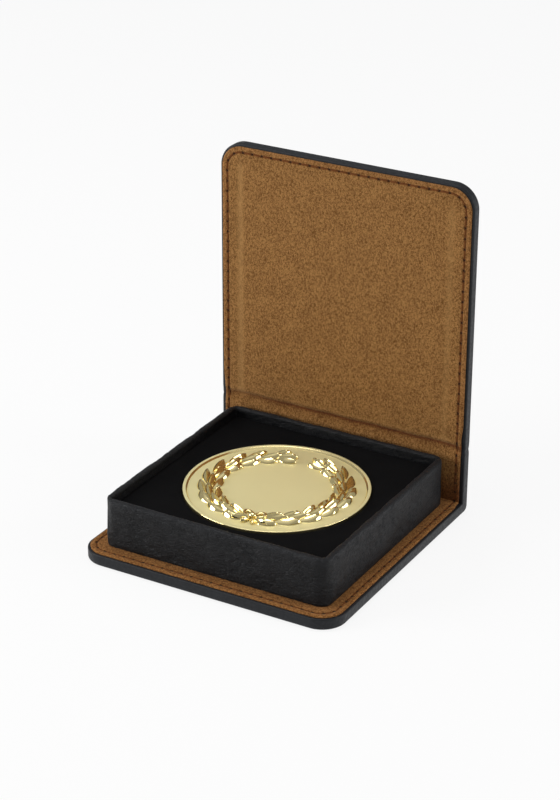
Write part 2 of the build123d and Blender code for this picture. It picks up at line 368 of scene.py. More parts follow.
def leather_finish():
    """Smooth black leatherette with a fine pebbled grain."""
    finish = Finish("leatherette")
    point = finish.place()
    pebbles = finish.cells(point, 1.05, "SMOOTH_F1").ramp(0.05, 0.75)
    wrinkles = finish.clouds(point, 1.6, 3, 0.6, 1.5)
    waves = finish.clouds(point, 9, 2)
    grain = finish.bump(0.8 - pebbles * 0.6 + wrinkles * 0.4, 0.07, 0.9)
    tint = finish.clouds(point, 14, 3)
    base = colours().leather
    colour = finish.mix(tint * 0.6 + wrinkles * 0.4, darker(base, 0.7), darker(base, 1.35))
    colour = finish.mix(pebbles * 0.5, colour, (0.45, 0.45, 0.45), "MULTIPLY")
    finish.surface(
        Base_Color=colour,
        Roughness=0.36 + pebbles * 0.14 + waves * 0.1,
        Normal=finish.bump(waves, 0.12, 0.35, grain),
        Specular_IOR_Level=0.28,
    )
    return finish.material


def tray_leather_finish():
    """Soft matt black leatherette with fine creases, a painted highlight along the rim's top and painted
    shade on the inner face.
    """
    finish = Finish("tray_leatherette")
    point = finish.place()
    sagging = finish.place((2.2, 2.2, 1), (0.25, 0.3, 0))
    coarse = 1 - abs(finish.clouds(sagging, 3.4, 2, 0.5, 1.2) - 0.5).ramp(0.0, 0.045)
    fine = 1 - abs(finish.clouds(sagging, 1.5, 2, 0.5, 1.6) - 0.5).ramp(0.0, 0.05)
    patches = finish.clouds(point, 9, 2).ramp(0.36, 0.62)
    creases = coarse * 0.35 + fine * (patches * 0.4 + 0.15)
    crinkle = finish.clouds(finish.place((1.7, 1.7, 1), (0.25, 0.3, 0)), 1.15, 3, 0.6, 1.2)
    pebbles = finish.cells(point, 0.5, "SMOOTH_F1")
    skin = finish.bump(pebbles + finish.clouds(point, 0.22, 2) * 0.6, 0.04, 0.7)
    base = colours().tray_leather
    tint = finish.clouds(point, 8, 4)
    lean, below_rim, _ = finish.split(finish.attribute("lean"))
    # Painted shade: the inner face is darkened with a blue tint.
    inside = lean.ramp(0.7, 1.0)
    # Painted highlight: a lighter band along the rim's top.
    rim = (1 - below_rim.ramp(0.4, 3.4)) * (1 - inside)
    colour = finish.mix(tint, darker(base, 0.8), darker(base, 1.3))
    # Painted highlight along the rim's top.
    colour = finish.mix(rim * 0.6, colour, darker(base, 2.4))
    finish.surface(
        # Painted shade on the inner face.
        Base_Color=finish.mix(inside, colour, (0.35, 0.37, 0.45), "MULTIPLY"),
        Roughness=0.42 + pebbles * 0.12 + creases * 0.1,
        Normal=finish.bump(crinkle * 2.2 - creases, 0.26, 1.0, skin),
        Specular_IOR_Level=0.21,
    )
    return finish.material


def suede_finish():
    """Tan suede with a mottled nap and a sewn border. The tray rim's pressed print is partly real
    burnished nap and partly painted highlight; painted shade darkens the seam's groove, the needle
    holes, the upper fold's crease and the spine's lower end, and a painted highlight lies on the roll
    above that crease.
    """
    finish = Finish("suede_lining")
    case = sizes()
    point = finish.place()
    strokes = finish.clouds(finish.place((1, 1.2, 1.5), (0, 0.3, 0)), 0.62, 4, 0.66, 0.8)
    fluff = finish.clouds(point, 0.26, 3, 0.7)
    patches = finish.clouds(point, 8, 4, 0.6)
    nap_state_and_highlight, from_edge, stitch = finish.split(finish.attribute("nap"))
    # Painted shade in the upper fold's crease and at the spine's lower end.
    creased = finish.split(finish.attribute("crease"))[0]
    # Where the tray's rim pressed and on the fold's roll: partly real burnished nap, partly painted
    # highlight.
    pressed_and_highlit = nap_state_and_highlight.ramp(0, 1)
    ruffled = (0 - nap_state_and_highlight).ramp(0, 1)
    grain = (strokes - 0.5) * 4.6 + (fluff - 0.5) * 3.8
    shade = grain * (1 + ruffled) + (patches - 0.5) * 0.6 + 0.5 - ruffled * 0.06
    base = colours().suede
    dark = (base[0] * 0.52, base[1] * 0.45, base[2] * 0.34)
    light = (base[0] * 1.5, base[1] * 1.6, base[2] * 1.85)
    nap = finish.mix(shade, dark, light)
    # Lighter pressed nap: partly real burnishing, partly painted highlight.
    marked = finish.mix(shade, darker(colours().pressed_highlit_suede, 0.85), darker(colours().pressed_highlit_suede, 1.18))
    colour = finish.mix(pressed_and_highlit * 0.8, nap, marked)
    wander = (finish.clouds(point, 2.5, 2) - 0.5) * 0.35
    off_line = abs(from_edge - case.seam_inset / MM + wander * 0.6)
    along = finish.node("ShaderNodeMath", {"operation": "PINGPONG"}, {0: stitch, 1: 0.5})
    along = along * (case.stitch_pitch / MM)
    # Painted shade: near-black needle holes, and a darker, redder groove along the stitching.
    hole = 1 - ((off_line**2 + (along * 0.6 + wander) ** 2) ** 0.5).ramp(0.26, 0.66)
    pull = 1 - off_line.ramp(0.1, 0.85 + wander)
    border = (1 - from_edge.ramp(1.6, 3.4)) * (1 - ruffled)
    colour = finish.mix(border, colour, (1.0, 0.95, 0.97), "MULTIPLY")
    colour = finish.mix(ruffled, colour, (1.08, 0.96, 0.88), "MULTIPLY")
    # Painted shade: darker, redder suede in the upper fold's crease and at the spine's lower end.
    colour = finish.mix(creased, colour, (0.5, 0.3, 0.22), "MULTIPLY")
    # Painted shade in the seam's groove and the needle holes.
    colour = finish.mix(pull * (0.75 - ruffled * 0.5), colour, (0.62, 0.36, 0.22), "MULTIPLY")
    colour = finish.mix(hole * 0.92, colour, (0.012, 0.004, 0.001))
    relief = strokes * 0.6 + fluff * 0.5 - hole * 1.2
    finish.surface(
        Base_Color=colour,
        Roughness=0.92,
        Specular_IOR_Level=0.2,
        Sheen_Weight=0.12,
        Sheen_Roughness=0.5,
        Sheen_Tint=(0.9, 0.62, 0.36),
        Normal=finish.bump(relief, 0.18, 0.9),
    )
    return finish.material


def thread_finish():
    """Twisted sewing thread."""
    finish = Finish("thread")
    point = finish.place()
    fibres = finish.clouds(finish.place((1, 1, 1), (0.6, 0.6, 0.6)), 0.14, 3)
    base = colours().thread
    finish.surface(
        Base_Color=finish.mix(fibres, darker(base, 0.5), darker(base, 1.5)),
        Roughness=0.8,
        Specular_IOR_Level=0.08,
        Normal=finish.bump(finish.clouds(point, 0.1, 2), 0.05, 0.6),
    )
    return finish.material


def velvet_finish():
    """Near-black velvet with a short pile."""
    finish = Finish("velvet")
    point = finish.place()
    pile = finish.clouds(point, 0.25, 3, 0.7)
    drift = finish.clouds(finish.place((1.6, 1, 1)), 9, 3)
    base = colours().velvet
    finish.surface(
        Base_Color=finish.mix(pile * 0.5 + drift * 0.5, darker(base, 0.55), darker(base, 1.6)),
        Roughness=0.95,
        Specular_IOR_Level=0.05,
        Normal=finish.bump(pile, 0.12, 0.8),
    )
    return finish.material


def polished_gold_finish():
    """Bright polished plating with faint handling haze."""
    finish = Finish("gold_polished")
    point = finish.place()
    haze = finish.clouds(point, 5, 4)
    base = colours().gold
    finish.surface(
        Base_Color=finish.mix(haze, darker(base, 0.97), base),
        Metallic=0.94,
        Roughness=0.05 + haze * 0.05,
        Normal=finish.bump(finish.clouds(point, 1.3, 2), 0.02, 0.35),
    )
    return finish.material


def satin_gold_finish():
    """Fine sand-blasted plating of the medal's plain field."""
    finish = Finish("gold_satin")
    point = finish.place()
    sand = finish.clouds(point, 0.12, 2, 0.6)
    haze = finish.clouds(point, 8, 3)
    base = colours().satin_gold
    finish.surface(
        Base_Color=finish.mix(haze, (0.9, 0.82, 0.44), base),
        Metallic=0.47,
        Roughness=0.5 + haze * 0.05,
        Normal=finish.bump(sand, 0.02, 0.4),
    )
    return finish.material


def board_finish():
    """Grey board with flecks of pulp."""
    finish = Finish("grey_board")
    point = finish.place()
    pulp = finish.clouds(finish.place((2, 2, 0.6)), 0.5, 4, 0.7)
    flecks = finish.cells(point, 1.4).ramp(0.1, 0.05)
    base = colours().board
    colour = finish.mix(pulp, darker(base, 0.75), darker(base, 1.2))
    finish.surface(
        Base_Color=finish.mix(flecks * 0.5, colour, darker(base, 0.4)),
        Roughness=0.9,
        Normal=finish.bump(pulp, 0.08, 0.6),
    )
    return finish.material


def foam_finish():
    """Dark open foam."""
    finish = Finish("foam")
    pores = finish.cells(finish.place(), 0.7)
    base = colours().foam
    finish.surface(
        Base_Color=finish.mix(pores, (0.012, 0.012, 0.013), base),
        Roughness=0.95,
        Normal=finish.bump(pores, 0.3, 0.8),
    )
    return finish.material


def floor_finish():
    """Pale floor that reads as white and keeps the object's shadow."""
    finish = Finish("studio_floor")
    finish.surface(Base_Color=(0.97, 0.97, 0.97), Roughness=0.7, Specular_IOR_Level=0.1)
    seen = finish.ray("Camera").larger(finish.ray("Glossy")).larger(finish.ray("Transmission"))
    length = {"operation": "LENGTH"}
    away = finish.node("ShaderNodeVectorMath", length, {0: finish.place()}, "Value")
    share = FLOOR_GLOW + away.ramp(*FLOOR_FADE) * (1 - FLOOR_GLOW)
    glow = finish.node("ShaderNodeEmission", {}, {"Color": (1, 1, 1), "Strength": 1.0})
    lit = Signal(finish, finish.shader.outputs[0])
    finish.end_with(finish.node("ShaderNodeMixShader", {}, {0: seen * share, 1: lit, 2: glow}))
    return finish.material


FINISH_MAKERS = {
    "leatherette": leather_finish,
    "tray_leatherette": tray_leather_finish,
    "suede_lining": suede_finish,
    "thread": thread_finish,
    "velvet": velvet_finish,
    "gold_polished": polished_gold_finish,
    "gold_satin": satin_gold_finish,
    "grey_board": board_finish,
    "foam": foam_finish,
    "studio_floor": floor_finish,
}
FINISHES = {}


def finish_named(name):
    """A material by its name, made the first time it is asked for."""
    if name not in FINISHES:
        FINISHES[name] = FINISH_MAKERS[name]()
    return FINISHES[name]


def deselect_all():
    """Leave edit mode and select nothing."""
    active = bpy.context.view_layer.objects.active
    if active is not None and active.mode != "OBJECT":
        bpy.ops.object.mode_set(mode="OBJECT")
    for item in bpy.context.view_layer.objects:
        item.select_set(False)


def make_active(piece):
    """Select one piece alone and make it active."""
    deselect_all()
    piece.select_set(True)
    bpy.context.view_layer.objects.active = piece


def settle(piece, name, finishes):
    """Name a new piece, put its place into its mesh and give it its materials."""
    make_active(piece)
    bpy.ops.object.transform_apply(location=True, rotation=True, scale=True)
    piece.name = name
    piece.data.name = name
    piece.data.materials.clear()
    for finish in finishes:
        piece.data.materials.append(finish_named(finish))
    return piece


@contextlib.contextmanager
def editing(piece):
    """Edit a piece's mesh, with all of it selected at first."""
    make_active(piece)
    bpy.ops.object.mode_set(mode="EDIT")
    bpy.ops.mesh.select_all(action="SELECT")
    yield
    bpy.ops.object.mode_set(mode="OBJECT")


def apply_modifier(piece, kind, **settings):
    """Add a modifier, set it up and apply it."""
    make_active(piece)
    modifier = piece.modifiers.new(kind.title(), kind)
    for name, value in settings.items():
        setattr(modifier, name, value)
    bpy.ops.object.modifier_apply(modifier=modifier.name)


def smooth(piece, degrees=35):
    """Shade smooth, apart from edges sharper than an angle."""
    make_active(piece)
    bpy.ops.object.shade_smooth_by_angle(angle=math.radians(degrees))


def weld(piece):
    """Merge what lies in one place and turn the faces outwards."""
    with editing(piece):
        bpy.ops.mesh.remove_doubles(threshold=1e-6)
        bpy.ops.mesh.dissolve_degenerate(threshold=1e-6)
        bpy.ops.mesh.normals_make_consistent(inside=False)


def pick(piece, mode, wanted):
    """In edit mode, select the vertices, edges or faces that a test wants."""
    bpy.ops.mesh.select_all(action="DESELECT")
    bpy.ops.mesh.select_mode(type=mode)
    mesh = bmesh.from_edit_mesh(piece.data)
    parts = {"VERT": mesh.verts, "EDGE": mesh.edges, "FACE": mesh.faces}[mode]
    for part in parts:
        part.select_set(wanted(part))
    mesh.select_flush_mode()
    bmesh.update_edit_mesh(piece.data)


def join(pieces, name):
    """Join pieces into the first one."""
    make_active(pieces[0])
    for piece in pieces[1:]:
        piece.select_set(True)
    bpy.ops.object.join()
    pieces[0].name = name
    pieces[0].data.name = name
    return pieces[0]


def copy_at(model, matrix):
    """A copy of a model with its own mesh, carried to its place."""
    copy = model.copy()
    copy.data = model.data.copy()
    bpy.context.collection.objects.link(copy)
    copy.data.transform(matrix)
    return copy


def add_ball(name, finish, segments, rings, turn=0):
    """Add a sphere to shape, whose poles are turned from Z towards X."""
    deselect_all()
    bpy.ops.mesh.primitive_uv_sphere_add(
        segments=segments, ring_count=rings, rotation=(0, turn, 0)
    )
    return settle(bpy.context.object, name, [finish])


def hand_in(piece, node, body):
    """Hide the node that a piece stands for, and attach the piece to the body it rides on."""
    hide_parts(node)
    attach(piece, body)


def blend_lower_fold(piece):
    """Put a piece's place into its mesh."""
    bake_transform(piece)


def blend_upper_fold(piece):
    """Put a piece's place into its mesh."""
    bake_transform(piece)


def add_sheet(name, columns, rows, place, finishes, flip=False, note=None):
    """Add a grid and carry each point to its place, as a flat blank is folded round a form.

    The note gives named vectors for each point of the blank, for its material to read.
    """
    deselect_all()
    bpy.ops.mesh.primitive_grid_add(
        x_subdivisions=len(columns) - 1, y_subdivisions=len(rows) - 1, size=1
    )
    sheet = bpy.context.object
    notes = {}
    for index, vertex in enumerate(sheet.data.vertices):
        column = columns[index % len(columns)]
        row = rows[index // len(columns)]
        vertex.co = place(column, row)
        if note is not None:
            for key, values in note(column, row).items():
                notes.setdefault(key, []).extend(values)
    for key, values in notes.items():
        stored = sheet.data.attributes.new(key, "FLOAT_VECTOR", "POINT")
        stored.data.foreach_set("vector", values)
    settle(sheet, name, finishes)
    if flip:
        with editing(sheet):
            bpy.ops.mesh.flip_normals()
    return sheet


def spread(start, end, step):
    """Evenly spaced values from start to end, about one step apart."""
    count = max(1, math.ceil(abs(end - start) / step - 1e-6))
    return [start + (end - start) * index / count for index in range(count + 1)]


def chain(*runs):
    """Join runs of values end to end, without their doubles."""
    values = []
    for run in runs:
        values.extend(value for value in run if not values or value > values[-1] + 1e-9)
    return values


def mirrored(values):
    """Values on both sides of zero."""
    return [-value for value in reversed(values) if value > 1e-9] + list(values)


def ease(value, low, high):
    """Rise smoothly from 0 at the low value to 1 at the high one."""
    share = min(max((value - low) / (high - low), 0), 1)
    return share * share * (3 - 2 * share)


def bell(value, width):
    """Smooth bump of height 1 at zero."""
    return math.exp(-((value / width) ** 2))


class Panel:
    """One stiff panel: places across it, along from its lower or rear fold, and above its outer face."""

    def __init__(self, body, start, length, stands, is_free):
        self.body = body
        self.start = start
        self.length = length
        self.stands = stands
        self.is_free = is_free

    def place(self, across, along, height):
        """A point of the panel."""
        if self.stands:
            return Vector((across, BACK - height, self.start + along))
        return Vector((across, self.start - along, height))

    def round_corner(self, across, along):
        """Distance past the corners' centres and its direction, with square corners turned round."""
        radius = sizes().corner_radius
        core_width = HALF_WIDTH - radius
        core_length = self.length - radius if self.is_free else math.inf
        side = abs(across) - core_width
        end = along - core_length
        ring = max(side, end, 0)
        if ring == 0:
            turn = 0
        elif side <= 0:
            turn = math.pi / 2
        elif end <= 0:
            turn = 0
        elif side > end:
            turn = math.pi / 4 * end / side
        else:
            turn = math.pi / 2 - math.pi / 4 * side / end
        return min(abs(across), core_width), min(along, core_length), ring, turn

    def outline(self, across, along, reach_of_ring):
        """Across and along of a blank's point after its corners are turned round."""
        core_across, core_along, ring, turn = self.round_corner(across, along)
        reach = reach_of_ring(ring)
        across_now = math.copysign(core_across + reach * math.cos(turn), across)
        if ring == 0:
            across_now = across
        return across_now, core_along + (reach * math.sin(turn) if turn else 0)


BASE = Panel("base", BASE_HIGH.y, BASE_HIGH.y - BASE_LOW.y, False, True)
SPINE = Panel("spine", SPINE_LOW.z, SPINE_HIGH.z - SPINE_LOW.z, True, False)
LID = Panel("lid", LID_LOW.z, LID_HIGH.z - LID_LOW.z, True, True)


def lower_fold_place(across, along, height):
    """A point of the lower fold: below 0 on the base, above the turn on the spine."""
    if along <= 0:
        return BASE.place(across, -along, height)
    if along >= TURN:
        return SPINE.place(across, along - TURN, height)
    radius = max(PANEL_THICKNESS / 2 - height, 0.2 * MM)
    centre_y = BACK - height - radius
    centre_z = height + radius
    share = along / TURN
    if share < 0.25:
        return Vector((across, BASE.start + (centre_y - BASE.start) * share / 0.25, height))
    if share > 0.75:
        rise = (SPINE.start - centre_z) * (share - 0.75) / 0.25
        return Vector((across, BACK - height, centre_z + rise))
    angle = math.pi * (share - 0.25)
    return Vector(
        (across, centre_y + radius * math.sin(angle), centre_z - radius * math.cos(angle))
    )


def upper_groove(share):
    """Depth of the upper fold's lining groove, steep on the lid's side."""
    return sizes().groove_depth * ease(share, -0.2, 0.62) * (1 - ease(share, 0.62, 1.08))


def crease_wander(across):
    """How far the upper fold's crease strays from its straight line."""
    return 0.3 * MM * noise.noise(Vector((across / (9 * MM), 0, 0)))


def painted_crease_shading(across, along):
    """How dark the upper fold's crease is painted at a place, and how much painted highlight the roll
    above it gets.
    """
    past = along + crease_wander(across) - 0.68 * UPPER_GAP
    # Both painted marks fade to half strength towards the left end.
    marked = 0.5 + 0.5 * ease(across, -46 * MM, -20 * MM)
    if past > 0:
        dark = bell(past, 0.65 * MM)
    else:
        dark = 0.6 * bell(past, 0.75 * MM) + 0.4 * bell(past, 2 * MM)
    return marked * dark, marked * 0.4 * bell(past - 2.3 * MM, 1 * MM)


def upper_fold_place(across, along, height):
    """A point of the upper fold: below 0 on the spine, above the gap on the lid."""
    end = HALF_WIDTH - 2.5 * MM
    pinch = 0.15 * MM * bell(along - 0.38 * UPPER_GAP, 0.7 * MM)
    across -= math.copysign(pinch * ease(abs(across), end, HALF_WIDTH), across)
    middle = ease(HALF_WIDTH - abs(across), 0, 7 * MM)
    sunk_inside = upper_groove((along + crease_wander(across)) / UPPER_GAP)
    sunk_inside *= 0.2 + 0.8 * middle
    share = min(max(along / UPPER_GAP, 0), 1)
    sunk_outside = 0.8 * MM * math.sin(math.pi * share) ** 2 * (0.35 + 0.65 * middle)
    level = height / PANEL_THICKNESS
    height_now = height + sunk_outside * (1 - level) - sunk_inside * level
    return Vector((across, BACK - height_now, SPINE_HIGH.z + along))


def wrap_edge(ring):
    """Reach and height of leatherette at a distance past a corner's centre, over a board's edge."""
    case = sizes()
    outer = case.edge_rounding
    past = ring - (case.corner_radius - outer)
    if past <= 0:
        return ring, 0
    if past < outer * math.pi / 2:
        angle = past / outer
        return ring - past + outer * math.sin(angle), outer * (1 - math.cos(angle))
    past -= outer * math.pi / 2
    wall = SHELL_HEIGHT - outer - INNER_ROUNDING
    if past < wall:
        return case.corner_radius, outer + past
    past -= wall
    if past < INNER_ROUNDING * math.pi / 2:
        angle = past / INNER_ROUNDING
        reach = case.corner_radius - INNER_ROUNDING * (1 - math.cos(angle))
        return reach, SHELL_HEIGHT - INNER_ROUNDING + INNER_ROUNDING * math.sin(angle)
    past -= INNER_ROUNDING * math.pi / 2
    return case.corner_radius - INNER_ROUNDING - past, SHELL_HEIGHT


def leather_rings():
    """Distances past a corner's centre at which the leatherette has its rows of points."""
    case = sizes()
    outer_start = case.corner_radius - case.edge_rounding
    outer_end = outer_start + case.edge_rounding * math.pi / 2
    inner_start = outer_end + SHELL_HEIGHT - case.edge_rounding - INNER_ROUNDING
    inner_end = inner_start + INNER_ROUNDING * math.pi / 2
    return chain(
        spread(0, outer_start, 1.1 * MM),
        spread(outer_start, outer_end, 0.25 * MM),
        spread(outer_end, inner_start, 0.75 * MM),
        spread(inner_start, inner_end, 0.2 * MM),
        spread(inner_end, inner_end + case.turn_in - INNER_ROUNDING, 2 * MM),
    )


def blank_columns(step, rings):
    """Places across a blank, from its left edge to its right one."""
    core = HALF_WIDTH - sizes().corner_radius
    return mirrored(chain(spread(0, core, step), [core + ring for ring in rings]))


def blank_rows(panel, start, step, rings):
    """Places along a panel's blank, from a start to its free end or the fold after it."""
    if not panel.is_free:
        return spread(start, panel.length - start, step)
    core = panel.length - sizes().corner_radius
    return chain(spread(start, core, step), [core + ring for ring in rings])


class MEDALCASE_OT_leather(bpy.types.Operator):
    """Wrap the base, the spine, the lid and both folds in black leatherette"""

    bl_idname = "medal_case.leather"
    bl_label = "Leatherette Cover"

    def cover(self, name, rows, place, flip, node):
        """Leatherette on its places, with its thickness added inwards."""
        columns = blank_columns(LEATHER_STEP, leather_rings())
        piece = add_sheet(name, columns, rows, place, ["leatherette"], flip)
        apply_modifier(piece, "SOLIDIFY", thickness=sizes().leather_thickness, offset=-1)
        smooth(piece)
        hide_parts(node)
        return piece

    def panel_place(self, panel):
        """Where the blank's points go on a panel, round its edges."""

        def place(across, along):
            height = wrap_edge(panel.round_corner(across, along)[2])[1]
            x, y = panel.outline(across, along, lambda distance: wrap_edge(distance)[0])
            return panel.place(x, y, height)

        return place

    def fold_place(self, fold):
        """Where the blank's points go on a fold."""
        core = HALF_WIDTH - sizes().corner_radius

        def place(across, along):
            reach, height = wrap_edge(max(abs(across) - core, 0))
            x = math.copysign(core + reach, across) if abs(across) > core else across
            return fold(x, along, height)

        return place

    def execute(self, context):
        for panel in (BASE, LID, SPINE):
            rows = blank_rows(panel, 0, LEATHER_STEP, leather_rings())
            name = f"{panel.body}_cover"
            place = self.panel_place(panel)
            piece = self.cover(f"{name}_leather", rows, place, panel.stands, name)
            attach(piece, panel.body)
        rows = spread(0, TURN, TURN / 20)
        place = self.fold_place(lower_fold_place)
        corner = self.cover("lower_fold_cover", rows, place, True, "lower_fold_leather")
        blend_lower_fold(corner)
        rows = spread(0, UPPER_GAP, 0.4 * MM)
        place = self.fold_place(upper_fold_place)
        groove = self.cover("upper_fold_cover", rows, place, True, "upper_fold_leather")
        blend_upper_fold(groove)
        return {"FINISHED"}


def lining_rings():
    """Distances past a corner's centre at which the lining has its rows of points."""
    case = sizes()
    seam = case.corner_radius - case.seam_inset
    edge = case.corner_radius - case.lining_setback
    return chain(
        spread(0, seam - 0.7 * MM, 0.8 * MM),
        spread(seam - 0.7 * MM, seam + 0.7 * MM, 0.2 * MM),
        spread(seam + 0.7 * MM, edge - 0.4 * MM, 0.5 * MM),
        spread(edge - 0.4 * MM, edge, 0.1 * MM),
    )


def seam_length(panel):
    """Length of a free panel's seam, from one end of its fold to the other, and of its first side."""
    case = sizes()
    side = panel.length - case.corner_radius
    if not panel.is_free:
        return panel.length, panel.length
    bend = (case.corner_radius - case.seam_inset) * math.pi / 2
    end = 2 * (HALF_WIDTH - case.corner_radius)
    return 2 * side + 2 * bend + end, side


def stitch_count(panel):
    """How many stitches a panel's seam has."""
    return round(seam_length(panel)[0] / sizes().stitch_pitch)


def seam_note(panel, across, along):
    """Distance from the leatherette's edge, and how many stitches along its seam a point lies."""
    case = sizes()
    _, core_along, ring, turn = panel.round_corner(across, along)
    total = seam_length(panel)[0]
    from_edge = case.corner_radius - ring
    pitch = total / stitch_count(panel)
    if not panel.is_free:
        return from_edge / MM, along / pitch
    bend = (case.corner_radius - case.seam_inset) * turn
    run = core_along + bend
    if turn == math.pi / 2:
        run += HALF_WIDTH - case.corner_radius + across
    elif across > 0:
        run = total - run
    return from_edge / MM, run / pitch


def pressed_and_highlit(across, along):
    """How strongly the tray's rim has pressed the lid's lining at a place: partly real burnished nap,
    partly painted highlight that is stronger on the left.
    """
    wall_middle = TRAY_HIGH.x - 2.2 * MM
    rim_far = FOLD_AXIS_Y - TRAY_LOW.y - (LID.start - UPPER_FOLD_Z) - 1.2 * MM
    below_rim = ease(rim_far - along, -4 * MM, 2 * MM)
    left = bell(across + wall_middle, 1.6 * MM) * below_rim
    right = bell(across - wall_middle, 1.6 * MM) * below_rim
    inside = ease(wall_middle - abs(across), -1 * MM, 2 * MM)
    top = bell(along - rim_far, 1.5 * MM) * inside
    # Painted highlight: the left band is made stronger than the right one, as light falls from the left.
    return max(left * 0.95, right * 0.6, top * 0.22)


def lining_relief(panel, across, along):
    """Height of the suede above its flat level."""
    case = sizes()
    from_edge = seam_note(panel, across, along)[0] * MM
    groove = 0.14 * MM * bell(from_edge - case.seam_inset, 0.4 * MM)
    cut = 0.16 * MM * bell(from_edge - case.lining_setback, 0.28 * MM)
    plump = 0.07 * MM * bell(from_edge - 1.9 * MM, 0.8 * MM)
    point = panel.place(across, along, PANEL_THICKNESS) / MM
    uneven = 0.03 * MM * noise.noise(point / 5)
    print_depth = 0.0
    if panel is LID:
        print_depth = 0.18 * MM * pressed_and_highlit(across, along)
    return plump - groove - cut - print_depth + uneven


def narrowing(panel, along):
    """How much narrower the lining is cut beside a fold, on each side."""
    most = 0.6 * MM
    if panel is LID:
        return most * (1 - ease(along, 1 * MM, 8 * MM))
    if panel is SPINE:
        return most
    return most * (1 - ease(along, 0, 5 * MM))


def lining_across(panel, across, along):
    """Place across the lining once it is cut narrower beside the fold."""
    edge = HALF_WIDTH - sizes().lining_setback
    share = ease(abs(across), edge - 2 * MM, edge)
    return across - math.copysign(narrowing(panel, along) * share, across)


class MEDALCASE_OT_lining(bpy.types.Operator):
    """Line the inside of the base, the spine, the lid and both folds with suede"""

    bl_idname = "medal_case.lining"
    bl_label = "Suede Lining"

    def note(self, panel, across, along):
        """What the suede's material reads at a place."""
        from_edge, stitch = seam_note(panel, across, along)
        ruffled = {BASE: -1.0, SPINE: -0.2}
        nap_state_and_highlight = pressed_and_highlit(across, along) if panel is LID else ruffled[panel]
        # Painted shadow: the spine's lining is darkened towards its lower end, where the tray shades it;
        # it travels in the crease attribute.
        painted_spine_shadow = 0.75 * (1 - ease(along, 3 * MM, 13.5 * MM)) if panel is SPINE else 0
        return {"nap": (nap_state_and_highlight, from_edge, stitch), "crease": (painted_spine_shadow, 0, 0)}

    def lining(self, name, rows, place, flip, note):
        """Suede on its places, with its thickness added towards the board."""
        columns = blank_columns(LINING_STEP, lining_rings())
        sheet = add_sheet(f"{name}_suede", columns, rows, place, ["suede_lining"], flip, note)
        apply_modifier(sheet, "SOLIDIFY", thickness=sizes().lining_thickness, offset=-1)
        smooth(sheet, 50)
        return sheet

    def panel_lining(self, panel, rows):
        """Lining of one panel."""

        def place(across, along):
            x, y = panel.outline(across, along, lambda distance: distance)
            height = PANEL_THICKNESS + lining_relief(panel, across, along)
            return panel.place(lining_across(panel, x, y), y, height)

        def note(across, along):
            return self.note(panel, across, along)

        return self.lining(f"{panel.body}_lining", rows, place, not panel.stands, note)

    def fold_lining(self, name, rows, fold_place, first, second, gap):
        """Lining across a fold, continued over the panels before and after it."""

        def panel_at(along):
            if along < gap / 2:
                return first, first.length + along if first is SPINE else max(-along, 0)
            return second, max(along - gap, 0)

        def place(across, along):
            panel, on_panel = panel_at(along)
            height = PANEL_THICKNESS + lining_relief(panel, across, on_panel)
            return fold_place(lining_across(panel, across, on_panel), along, height)

        def note(across, along):
            panel, on_panel = panel_at(along)
            noted = self.note(panel, across, on_panel)
            if fold_place is upper_fold_place:
                # Painted shade in the crease, and a painted highlight on the roll above it, added to the
                # nap's channel.
                dark, roll = painted_crease_shading(across, along)
                nap_state_and_highlight, from_edge, stitch = noted["nap"]
                noted["nap"] = (nap_state_and_highlight + roll, from_edge, stitch)
                noted["crease"] = (dark, 0, 0)
            return noted

        return self.lining(name, rows, place, False, note)

    def execute(self, context):
        width = 2 * (HALF_WIDTH - sizes().lining_setback)
        for panel in (BASE, LID, SPINE):
            rows = blank_rows(panel, LINING_OVERRUN, LINING_STEP, lining_rings())
            lining = self.panel_lining(panel, rows)
            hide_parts(f"{panel.body}_lining")
            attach(lining, panel.body)
            flat = (width, max(rows[-1] - rows[0], SHORTEST_FLAT))
        rows = chain(
            spread(-LINING_OVERRUN, 0, LINING_STEP),
            spread(0.26 * TURN, 0.74 * TURN, TURN / 16),
            spread(TURN, TURN + LINING_OVERRUN, LINING_STEP),
        )
        corner = self.fold_lining("lower_fold", rows, lower_fold_place, BASE, SPINE, TURN)
        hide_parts("lower_fold_lining")
        blend_lower_fold(corner)
        flat = (width, 2 * LINING_OVERRUN + 0.3 * MM)
        rows = chain(
            spread(-LINING_OVERRUN, -1 * MM, LINING_STEP),
            spread(-1 * MM, UPPER_GAP + 1 * MM, 0.3 * MM),
            spread(UPPER_GAP + 1 * MM, UPPER_GAP + LINING_OVERRUN, LINING_STEP),
        )
        groove = self.fold_lining("upper_fold", rows, upper_fold_place, SPINE, LID, UPPER_GAP)
        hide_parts("upper_fold_lining")
        blend_upper_fold(groove)
        flat = (width, 2 * LINING_OVERRUN + UPPER_GAP)
        return {"FINISHED"}


